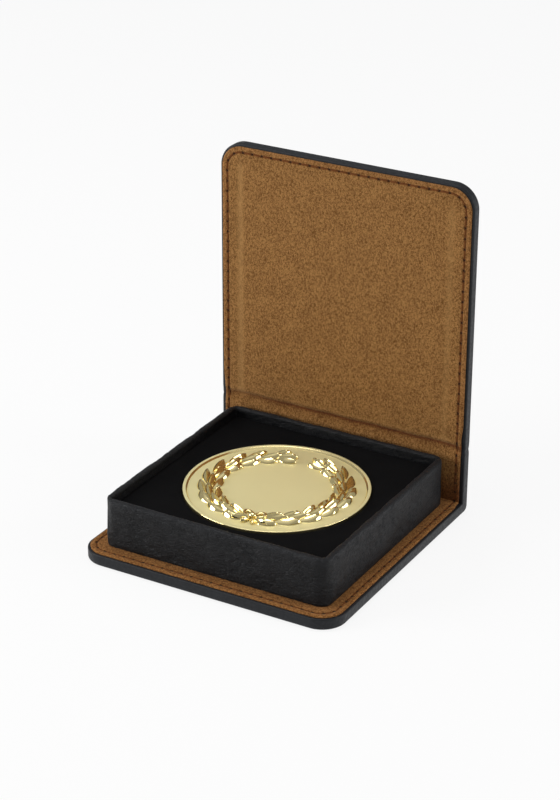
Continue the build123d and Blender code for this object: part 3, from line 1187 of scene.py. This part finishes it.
class MEDALCASE_OT_stitching(bpy.types.Operator):
    """Sew the lining's edge with single stitches of twisted thread"""

    bl_idname = "medal_case.stitching"
    bl_label = "Stitching"

    def stitch_model(self):
        """One stitch: a thread that rises from its hole and dips into the next."""
        stitch = add_ball("stitch", "thread", 8, 9, math.pi / 2)
        half_length = sizes().stitch_pitch * 0.43
        half_width = sizes().thread_width / 2
        for vertex in stitch.data.vertices:
            share = vertex.co.x
            along = math.copysign(abs(share) ** 0.8, share)
            swell = (1 - share**4) ** 0.5 if abs(share) < 1 else 0
            ring = math.hypot(vertex.co.y, vertex.co.z) or 1
            twist = 0.08 * math.sin(7 * along + 2 * math.atan2(vertex.co.z, vertex.co.y))
            arch = 0.16 * MM * (1 - share * share) - 0.2 * MM
            vertex.co.x = half_length * along
            vertex.co.y *= half_width * swell * (1 + twist) / ring
            vertex.co.z = vertex.co.z / ring * half_width * 0.7 * swell * (1 + twist) + arch
        return stitch

    def seam_place(self, panel, number):
        """Across, along and heading of the middle of one stitch."""
        case = sizes()
        total, side = seam_length(panel)
        run = (number + 0.5) * total / stitch_count(panel)
        edge = HALF_WIDTH - case.seam_inset
        core = HALF_WIDTH - case.corner_radius
        radius = case.corner_radius - case.seam_inset
        bend = radius * math.pi / 2
        past_middle = run > total / 2
        if past_middle:
            run = total - run
        if run < side:
            place = (-edge, run, math.pi / 2)
        elif run < side + bend:
            turn = (run - side) / radius
            across = -core - radius * math.cos(turn)
            place = (across, side + radius * math.sin(turn), math.pi / 2 - turn)
        else:
            place = (-core + run - side - bend, side + radius, 0)
        across, along, heading = place
        if past_middle:
            return -across, along, math.pi - heading
        return across, along, heading

    def sew(self, model, name, places):
        """Copies of the stitch at their places, joined into one row."""
        row = []
        for place, heading, panel in places:
            across = Vector((1, 0, 0))
            along = Vector((0, 0, 1)) if panel.stands else Vector((0, -1, 0))
            up = Vector((0, -1, 0)) if panel.stands else Vector((0, 0, 1))
            forward = across * math.cos(heading) + along * math.sin(heading)
            turn = Matrix((forward, up.cross(forward), up)).transposed().to_4x4()
            row.append(copy_at(model, Matrix.Translation(place) @ turn))
        sewn = join(row, name)
        smooth(sewn, 60)
        return sewn

    def execute(self, context):
        model = self.stitch_model()
        draw = random.Random(4)
        for panel in (BASE, LID):
            places = []
            for number in range(stitch_count(panel)):
                across, along, heading = self.seam_place(panel, number)
                lift = 0.05 * MM if panel is LID else -0.03 * MM
                spot = panel.place(across, along, PANEL_THICKNESS + lift)
                places.append((spot, heading + draw.uniform(-0.05, 0.05), panel))
            row = self.sew(model, f"{panel.body}_stitches", places)
            hand_in(row, f"{panel.body}_stitching", panel.body)
        edge = HALF_WIDTH - sizes().seam_inset
        count = stitch_count(SPINE)
        places = []
        for number in range(count):
            along = (number + 0.5) * SPINE.length / count
            for across in (-edge, edge):
                spot = SPINE.place(across, along, PANEL_THICKNESS + 0.05 * MM)
                places.append((spot, math.pi / 2, SPINE))
        row = self.sew(model, "spine_stitches", places)
        hand_in(row, "spine_stitching", "spine")
        places = []
        for across in (-edge, edge):
            spot = upper_fold_place(across, UPPER_GAP / 2, PANEL_THICKNESS + 0.1 * MM)
            places.append((spot, math.pi / 2, SPINE))
        row = self.sew(model, "upper_fold_stitches", places)
        blend_upper_fold(row)
        bpy.data.objects.remove(model)
        return {"FINISHED"}


def tray_outline(run, inset):
    """A point of the tray's outline and the way out from it, each side being a run of 1."""
    half_x = TRAY_HIGH.x
    half_y = (TRAY_HIGH.y - TRAY_LOW.y) / 2
    middle_y = (TRAY_HIGH.y + TRAY_LOW.y) / 2
    radius = TRAY_CORNER - inset * (TRAY_CORNER - TRAY_INNER_CORNER) / TRAY_WALL
    side, share = divmod(run, 1)
    if share < 1 - CORNER_SHARE:
        part = share / (1 - CORNER_SHARE) * 2 - 1
        out = Vector((0, -1))
        spot = Vector((part * (half_x - inset - radius), -half_y + inset))
    else:
        angle = (share - 1 + CORNER_SHARE) / CORNER_SHARE * math.pi / 2
        centre = Vector((half_x - inset - radius, -half_y + inset + radius))
        out = Vector((math.sin(angle), -math.cos(angle)))
        spot = centre + out * radius
    quarter = Matrix.Rotation(math.pi / 2 * (int(side) % 4), 2)
    spot = quarter @ spot
    return Vector((spot.x, spot.y + middle_y)), quarter @ out


class MEDALCASE_OT_tray(bpy.types.Operator):
    """Wrap the tray's walls in soft creased leatherette"""

    bl_idname = "medal_case.tray"
    bl_label = "Tray"

    def section(self):
        """The wrap's cross-section: inset from the outer face, height, and lean of its surface."""
        rim = TRAY_HIGH.z
        rounding = TRAY_RIM_ROUNDING
        wall = TRAY_WALL
        rows = [(0.5 * MM, TRAY_LOW.z, 0), (0.16 * MM, TRAY_LOW.z + 0.12 * MM, 0)]
        rows += [(0.03 * MM, TRAY_LOW.z + 0.5 * MM, 0)]
        for height in spread(TRAY_LOW.z + 1.0 * MM, rim - rounding, 0.7 * MM):
            rows.append((0, height, 0))
        for angle in spread(math.pi / 12, math.pi / 2, math.pi / 12):
            inset = rounding * (1 - math.cos(angle))
            rows.append((inset, rim - rounding * (1 - math.sin(angle)), angle))
        for angle in spread(math.pi / 2, math.pi, math.pi / 12)[1:]:
            inset = wall - rounding - rounding * math.cos(angle)
            rows.append((inset, rim - rounding * (1 - math.sin(angle)), angle))
        for height in spread(rim - rounding - 0.7 * MM, VELVET_HIGH.z - 1.2 * MM, 0.7 * MM):
            rows.append((wall, height, math.pi))
        return rows

    def crease(self, point, out):
        """How deep the leatherette is creased at a point, from 0 to 1."""
        p = point / MM
        run = p.x * out.y - p.y * out.x
        slant = Vector((run + 0.8 * p.z, p.z - 0.5 * run, 0))
        warp = noise.noise_vector(p / 6) * 1.6
        strokes = Vector((slant.x / 2.6, slant.y / 1.15, 0)) + warp
        wrinkle = 0.5 + 0.5 * noise.noise(strokes)
        patch = ease(noise.noise(p / 11 + Vector((2, 9, 4))), -0.3, 0.4)
        corner = min(abs(out.x), abs(out.y)) * 2
        folds = 0.5 + 0.5 * noise.noise(Vector((p.x * 0.8, p.y * 0.8, p.z * 0.06)))
        share = ease(corner, 0.05, 0.6)
        return (0.25 + 0.75 * patch) * wrinkle * (1 - share) + folds * share

    def execute(self, context):
        case = sizes()
        section = self.section()
        runs = []
        for side in range(4):
            straight = spread(0, 1 - CORNER_SHARE, 0.0085)[:-1]
            corner = spread(1 - CORNER_SHARE, 1, CORNER_SHARE / 9)[:-1]
            runs += [side + share for share in straight + corner]
        runs.append(4)

        def place(run, row):
            inset, height, lean = section[round(row)]
            spot, out = tray_outline(run, inset)
            point = Vector((spot.x, spot.y, height))
            face = Vector((out.x * math.cos(lean), out.y * math.cos(lean), math.sin(lean)))
            depth = self.crease(point, out)
            slack = noise.noise(point / MM / 9) * 0.10 * MM
            on_wall = ease(height, TRAY_LOW.z + 0.4 * MM, TRAY_LOW.z + 2 * MM)
            calm = 1 - 0.65 * math.sin(lean) if lean < math.pi else 0.35
            sink = slack - case.crease_depth * (depth - 0.35)
            sink = min(max(sink, -0.3 * MM), 0.4 * MM)
            return point + face * sink * on_wall * calm

        def note(run, row):
            _, height, lean = section[round(row)]
            return {"lean": (lean / math.pi, (TRAY_HIGH.z - height) / MM, 0)}

        rows = [float(index) for index in range(len(section))]
        wrap = add_sheet(
            "tray_wrap_leather", runs, rows, place, ["tray_leatherette"], note=note
        )
        with editing(wrap):
            bpy.ops.mesh.remove_doubles(threshold=1e-5)
        apply_modifier(wrap, "SOLIDIFY", thickness=case.tray_wrap, offset=-1)
        smooth(wrap, 60)
        hand_in(wrap, "tray_wrap", "base")
        return {"FINISHED"}


def square_point(angle, half, corner):
    """A point on a square's outline with slightly round corners, in the direction of an angle."""
    direction = Vector((math.cos(angle), math.sin(angle)))
    reach = half / max(abs(direction.x), abs(direction.y))
    spot = direction * reach
    past = min(abs(spot.x), abs(spot.y)) - (half - corner)
    if past > 0:
        pull = corner - math.sqrt(max(corner * corner - past * past, 0))
        share = 1 - pull / reach
        spot = spot * share
    return spot


def add_round_solid(name, steps, rows, place, finishes):
    """Add a closed solid from rows of points round the tray's middle."""
    angles = [2 * math.pi * index / steps for index in range(steps)] + [0.0]
    numbers = [float(index) for index in range(len(rows))]
    solid = add_sheet(
        name, angles, numbers, lambda angle, number: place(angle, rows[round(number)]), finishes
    )
    weld(solid)
    return solid


class MEDALCASE_OT_insert(bpy.types.Operator):
    """Fill the tray with a foam block under a velvet skin, with a round well for the medal"""

    bl_idname = "medal_case.insert"
    bl_label = "Velvet Insert"

    def execute(self, context):
        middle_y = (VELVET_LOW.y + VELVET_HIGH.y) / 2
        half = VELVET_HIGH.x
        well = MEDAL_HIGH.x + 0.2 * MM
        skin = VELVET_THICKNESS
        level = VELVET_HIGH.z

        def place(angle, row):
            share, radius, height, soft = row
            round_spot = Vector((math.cos(angle), math.sin(angle))) * radius
            square_spot = square_point(angle, half, 1.0 * MM)
            spot = round_spot.lerp(square_spot, share)
            point = Vector((spot.x, spot.y + middle_y, height))
            point.z += soft * noise.noise(point / MM / 6) * 0.18 * MM
            return point

        top = []
        for share in spread(1, 0, 1 / 12):
            lift = 1.15 * MM * ease(share, 0.12, 1.0) ** 1.3
            round_over = 0.5 * MM * bell(1 - share, 0.07)
            top.append((share, well + WELL_ROUNDING, level + lift - round_over, 1))
        rim = []
        for angle in spread(math.pi / 10, math.pi / 2, math.pi / 10):
            radius = well + WELL_ROUNDING * (1 - math.sin(angle))
            rim.append((0, radius, level - WELL_ROUNDING * (1 - math.cos(angle)), 0))
        floor = MEDAL_LOW.z
        rows = [(0, 0, floor - skin, 0), (0, well / 2, floor - skin, 0)]
        rows += [(0, well + skin, floor - skin, 0), (0, well + skin, level - skin, 0)]
        rows += [(share, well + skin, level - skin, 0) for share in (0.5, 1)]
        rows += [(1, well, level, 0)] + top + rim
        rows += [(0, well, floor + 0.3 * MM, 0), (0, well - 0.3 * MM, floor, 0)]
        rows += [(0, well * 0.66, floor, 0), (0, well * 0.33, floor, 0), (0, 0, floor, 0)]
        velvet = add_round_solid("insert_velvet_skin", 216, rows, place, ["velvet"])
        smooth(velvet, 60)
        hand_in(velvet, "insert_velvet", "base")

        bottom = FOAM_LOW.z
        foam_top = level - skin
        hole = well + skin + 0.05 * MM
        hole_floor = floor - skin - 0.05 * MM
        rows = [(0, 0, bottom, 0), (0.5, hole, bottom, 0), (1, hole, bottom, 0)]
        rows += [(1, hole, foam_top, 0), (0.5, hole, foam_top, 0), (0, hole, foam_top, 0)]
        rows += [(0, hole, hole_floor, 0), (0, hole / 2, hole_floor, 0), (0, 0, hole_floor, 0)]
        foam = add_round_solid("insert_foam_block", 72, rows, place, ["foam"])
        smooth(foam, 30)
        hand_in(foam, "insert_foam", "base")
        return {"FINISHED"}


class MEDALCASE_OT_medal(bpy.types.Operator):
    """Strike the medal: rim, plain field, laurel wreath and bow"""

    bl_idname = "medal_case.medal"
    bl_label = "Medal"

    def blank(self):
        """The round blank with a raised rim on both faces."""
        rim = sizes().medal_rim
        radius = MEDAL_HIGH.x
        middle = (MEDAL_LOW + MEDAL_HIGH) / 2
        deselect_all()
        bpy.ops.mesh.primitive_cylinder_add(
            vertices=240, radius=radius, depth=MEDAL_HIGH.z - MEDAL_LOW.z, location=middle
        )
        blank = settle(bpy.context.object, "medal_struck", ["gold_polished", "gold_satin"])

        def level_at(distance, slack):
            """A test for level edges at a distance from the medal's middle."""

            def test(edge):
                ends = [vertex.co - middle for vertex in edge.verts]
                level = abs(ends[0].z - ends[1].z) < 1e-6
                return level and all(abs(end.xy.length - distance) < slack for end in ends)

            return test

        with editing(blank):
            for side in (1, -1):
                pick(blank, "FACE", lambda face: face.normal.z * side > 0.9 and len(face.verts) > 4)
                bpy.ops.mesh.inset(thickness=rim)
                bpy.ops.mesh.inset(thickness=0.55 * MM, depth=-FIELD_DEPTH)
                bpy.ops.mesh.inset(thickness=0.3 * MM)
            pick(blank, "EDGE", level_at(radius, 1e-5))
            bpy.ops.mesh.bevel(offset=0.3 * MM, segments=3, profile=0.5)
            pick(blank, "EDGE", level_at(radius - rim, 2e-5))
            bpy.ops.mesh.bevel(offset=0.14 * MM, segments=2)
        for face in blank.data.polygons:
            face.material_index = 1 if abs(face.normal.z) > 0.95 else 0
        return blank

    def leaf_model(self):
        """One plump laurel leaf along X, with a pointed tip, a midrib and a few veins."""
        leaf = add_ball("leaf", "gold_polished", 24, 18, math.pi / 2)
        for vertex in leaf.data.vertices:
            x = vertex.co.x
            ring = math.hypot(vertex.co.y, vertex.co.z) or 1
            side = vertex.co.y / ring
            up = vertex.co.z / ring
            share = math.acos(max(-1, min(1, -x))) / math.pi
            width = math.sin(math.pi * share**1.2) ** 0.8
            tip = max(share - 0.62, 0) / 0.38
            swell = (0.5 + 0.5 * ease(share, 0, 0.6)) * ease(share, -0.02, 0.1)
            swell *= math.sqrt(max(1 - tip * tip, 0))
            rib = 0.42 * bell(side, 0.2) * (1 - ease(share, 0.6, 0.95))
            flutes = 0.1 * bell(abs(side) - 0.55, 0.12) * (1 - ease(share, 0.4, 0.85))
            vertex.co.x = share - 0.5
            vertex.co.y = side * width * 0.5
            crown = 1 - side * side if up > 0 else 0
            vertex.co.z = crown * swell * (1 - rib - flutes) - 0.12
        weld(leaf)
        smooth(leaf, 60)
        return leaf

    def copy_to(self, model, spot, turn, size, pitch=0.0, roll=0.0):
        """A copy of a model on the medal's field, at a place across the medal's face."""
        grow = Matrix.Diagonal((*size, 1))
        tilt = Euler((roll, -pitch, 0)).to_matrix().to_4x4()
        spin = Matrix.Rotation(turn, 4, "Z")
        return copy_at(model, Matrix.Translation(spot) @ spin @ tilt @ grow)

    def spot(self, bearing, reach, height):
        """A point over the medal, at a reach from its middle in the direction of a bearing."""
        spot = Vector((math.cos(bearing), math.sin(bearing), 0)) * reach
        spot.y += (MEDAL_LOW.y + MEDAL_HIGH.y) / 2
        spot.z = height
        return spot

    def wreath(self, leaf, berry, field):
        """Leaves and berries of both branches."""
        case = sizes()
        groups = case.leaf_groups
        radius = MEDAL_HIGH.x - WREATH_INSET
        draw = random.Random(11)
        added = []
        first = 14.0
        rows = (
            # row, out from the middle line, splay, length, width, height, lift, shift
            (-1, 2.6 * MM, 12, 1.08, 3.7 * MM, 2.1 * MM, 0.0, -0.15),
            (1, -2.6 * MM, -16, 0.98, 3.3 * MM, 1.9 * MM, 0.0, 0.12),
            (0, 0.0, 0, 1.04, 3.3 * MM, 2.1 * MM, 0.3 * MM, 0.44),
        )

        def bearing_at(side, degrees):
            """Direction of a place on a branch, in degrees on from its first leaves."""
            return math.radians(-90 + side * (first + degrees)) + case.wreath_turn

        for side, last in ((1, 157.0), (-1, 162.0)):
            step = (last - first) / (groups - 1)
            for number in range(groups):
                for row, out, splay, length, width, height, lift, shift in rows:
                    if number == groups - 1 and row == 0:
                        shift = 0.15
                    bearing = bearing_at(side, (number + shift) * step)
                    reach = radius + out + draw.uniform(-0.25, 0.25) * MM
                    spot = self.spot(bearing, reach, field + lift)
                    lean = math.radians(-splay + draw.uniform(-7, 7))
                    turn = bearing + side * (math.pi / 2 + lean)
                    grow = draw.uniform(0.9, 1.08)
                    size = (case.leaf_length * length * grow, width * grow, height)
                    pitch = math.radians(draw.uniform(2, 9))
                    roll = math.radians(side * row * draw.uniform(4, 16))
                    added.append(self.copy_to(leaf, spot, turn, size, pitch, roll))
                if number % 2 == 1 and number < groups - 1:
                    bearing = bearing_at(side, (number + 0.6) * step)
                    spot = self.spot(bearing, radius - 3.6 * MM, field + 0.3 * MM)
                    size = (1.1 * MM, 1.1 * MM, 0.85 * MM)
                    added.append(self.copy_to(berry, spot, 0, size))
        return added

    def bow(self, leaf, loop, berry, field):
        """Ribbon that ties the branches at the front: two loops, two tails and a knot."""
        turned = sizes().wreath_turn
        centre = self.spot(turned - math.radians(88), MEDAL_HIGH.x - WREATH_INSET, field)
        added = []
        for side in (1, -1):
            for shape, tilt, length, width, height in (
                (loop, 38, 5.4, 4.0, 2.6),
                (leaf, -28, 7.6, 2.2, 1.7),
                (leaf, -66, 5.6, 2.0, 1.5),
            ):
                turn = math.radians(tilt) if side > 0 else math.pi - math.radians(tilt)
                turn += turned
                reach = length * 0.55 * MM
                out = Vector((math.cos(turn) * reach, math.sin(turn) * reach, 0.6 * MM))
                size = (length * MM, width * MM, height * MM)
                added.append(self.copy_to(shape, centre + out, turn, size, math.radians(4)))
        knot = centre + Vector((0, 0, 0.95 * MM))
        added.append(self.copy_to(berry, knot, 0, (1.6 * MM, 1.3 * MM, 1.2 * MM)))
        return added

    def execute(self, context):
        field = MEDAL_HIGH.z - FIELD_DEPTH
        blank = self.blank()
        smooth(blank, 30)
        leaf = self.leaf_model()
        berry = add_ball("berry", "gold_polished", 14, 10)
        deselect_all()
        bpy.ops.mesh.primitive_torus_add(
            major_segments=24, minor_segments=10, major_radius=0.36, minor_radius=0.14
        )
        loop = settle(bpy.context.object, "loop", ["gold_polished"])
        for model in (berry, loop):
            smooth(model, 60)
        added = self.wreath(leaf, berry, field) + self.bow(leaf, loop, berry, field)
        medal = join([blank] + added, "medal_struck")
        for model in (leaf, loop, berry):
            bpy.data.objects.remove(model)
        hand_in(medal, "medal", "medal")
        return {"FINISHED"}


class MEDALCASE_OT_cores(bpy.types.Operator):
    """Finish the boards and the card inside the covers and the tray"""

    bl_idname = "medal_case.cores"
    bl_label = "Boards and Padding"

    def execute(self, context):
        boards = ["base_board", "base_infill_card", "spine_board", "spine_infill_card"]
        boards += ["lid_board", "tray_floor"]
        boards += [f"tray_wall_{side}" for side in ("front", "back", "left", "right")]
        for name in boards:
            board = frame["nodes"][name]
            board.data.materials.clear()
            board.data.materials.append(finish_named("grey_board"))
        slack = 0.1 * MM
        deselect_all()
        bpy.ops.mesh.primitive_cube_add(size=1, location=(PAD_LOW + PAD_HIGH) / 2)
        bpy.context.object.scale = [side - slack for side in PAD_HIGH - PAD_LOW]
        pad = settle(bpy.context.object, "lid_padding_foam", ["foam"])
        top = PAD_HIGH.z - 1 * MM

        def is_top_corner(edge):
            ends = [vertex.co for vertex in edge.verts]
            return all(end.z > top for end in ends) and abs(ends[0].y - ends[1].y) > slack

        with editing(pad):
            pick(pad, "EDGE", is_top_corner)
            bpy.ops.mesh.bevel(offset=3 * MM, segments=6)
            pick(pad, "EDGE", lambda edge: edge.calc_length() > 0.9 * MM)
            bpy.ops.mesh.bevel(offset=0.12 * MM, segments=2)
        smooth(pad)
        hand_in(pad, "lid_padding", "lid")
        return {"FINISHED"}


class MEDALCASE_OT_stage(bpy.types.Operator):
    """Set the floor, the soft studio lights and the photograph's camera"""

    bl_idname = "medal_case.stage"
    bl_label = "Studio Stage"

    def light(self, name, place, side, power):
        """A square soft box that faces the object."""
        deselect_all()
        facing = (LAMPS_AIM - Vector(place)).to_track_quat("-Z", "Y").to_euler()
        bpy.ops.object.light_add(type="AREA", location=place, rotation=facing)
        lamp = bpy.context.object
        lamp.name = name
        lamp.data.shape = "SQUARE"
        lamp.data.size = side
        lamp.data.energy = power

    def world(self):
        """White surroundings, dimmed where polished metal mirrors the ceiling."""
        world = bpy.data.worlds.new("studio")
        bpy.context.scene.world = world
        world.use_nodes = True
        sky = Nodes(world.node_tree)
        sky.tree.nodes.remove(sky.tree.nodes["Background"])
        seen = sky.ray("Camera").larger(sky.ray("Transmission"))
        rise = sky.split(sky.node("ShaderNodeTexCoord", {}, {}, "Generated"))[2]
        grey = sky.node("ShaderNodeValToRGB", {"stops": MIRRORED_SKY}, {"Fac": rise})
        bright = seen.larger(sky.ray("Glossy") * grey)
        lit = {"Color": SKY_COLOUR, "Strength": SKY_STRENGTH}
        light = sky.node("ShaderNodeBackground", {}, lit)
        white = sky.node("ShaderNodeBackground", {}, {"Color": (1, 1, 1), "Strength": 1.0})
        sky.end_with(sky.node("ShaderNodeMixShader", {}, {0: bright, 1: light, 2: white}))

    def camera(self):
        """The photograph's camera."""
        azimuth, elevation, roll = (
            math.radians(angle) for angle in (CAMERA_AZIMUTH, CAMERA_ELEVATION, CAMERA_ROLL)
        )
        back = Vector(
            (
                math.sin(azimuth) * math.cos(elevation),
                -math.cos(azimuth) * math.cos(elevation),
                math.sin(elevation),
            )
        )
        right = Vector((math.cos(azimuth), math.sin(azimuth), 0))
        up = back.cross(right)
        right_rolled = math.cos(roll) * right + math.sin(roll) * up
        up_rolled = math.cos(roll) * up - math.sin(roll) * right
        place = CAMERA_TARGET + back * CAMERA_DISTANCE
        place += right_rolled * CAMERA_OFFSET[0] + up_rolled * CAMERA_OFFSET[1]
        axes = Matrix((right_rolled, up_rolled, back)).transposed()
        deselect_all()
        bpy.ops.object.camera_add(location=place, rotation=axes.to_euler())
        camera = bpy.context.object
        camera.data.lens = CAMERA_LENS
        camera.data.sensor_width = 36
        camera.data.clip_start = 0.01
        camera.data.clip_end = 50
        bpy.context.scene.camera = camera

    def execute(self, context):
        deselect_all()
        bpy.ops.mesh.primitive_plane_add(size=12)
        floor = settle(bpy.context.object, "studio_floor", ["studio_floor"])
        self.world()
        for lamp in LAMPS:
            self.light(*lamp)
        self.camera()
        context.scene.view_settings.view_transform = "Standard"
        return {"FINISHED"}


class MEDALCASE_PT_pieces(bpy.types.Panel):
    """Pieces of the medal case"""

    bl_idname = "MEDALCASE_PT_pieces"
    bl_label = "Medal Case"
    bl_space_type = "VIEW_3D"
    bl_region_type = "UI"
    bl_category = "Medal Case"

    def draw(self, context):
        for operator in OPERATORS:
            self.layout.operator(operator.bl_idname)
        for group in (context.scene.case_sizes, context.scene.case_colours):
            for name in group.__annotations__:
                self.layout.prop(group, name)


OPERATORS = (
    MEDALCASE_OT_stage,
    MEDALCASE_OT_leather,
    MEDALCASE_OT_lining,
    MEDALCASE_OT_stitching,
    MEDALCASE_OT_tray,
    MEDALCASE_OT_insert,
    MEDALCASE_OT_medal,
    MEDALCASE_OT_cores,
)
CLASSES = (CaseSizes, CaseColours, *OPERATORS, MEDALCASE_PT_pieces)


def register():
    """Register the add-on's classes and its settings."""
    for item in CLASSES:
        bpy.utils.register_class(item)
    bpy.types.Scene.case_sizes = bpy.props.PointerProperty(type=CaseSizes)
    bpy.types.Scene.case_colours = bpy.props.PointerProperty(type=CaseColours)


def unregister():
    """Take the add-on's classes and settings away."""
    del bpy.types.Scene.case_colours
    del bpy.types.Scene.case_sizes
    for item in reversed(CLASSES):
        bpy.utils.unregister_class(item)


def main():
    """Build every piece."""
    register()
    bpy.ops.medal_case.stage()
    bpy.ops.medal_case.leather()
    bpy.ops.medal_case.lining()
    bpy.ops.medal_case.stitching()
    bpy.ops.medal_case.tray()
    bpy.ops.medal_case.insert()
    bpy.ops.medal_case.medal()
    bpy.ops.medal_case.cores()
    deselect_all()


if __name__ == "__main__":
    main()
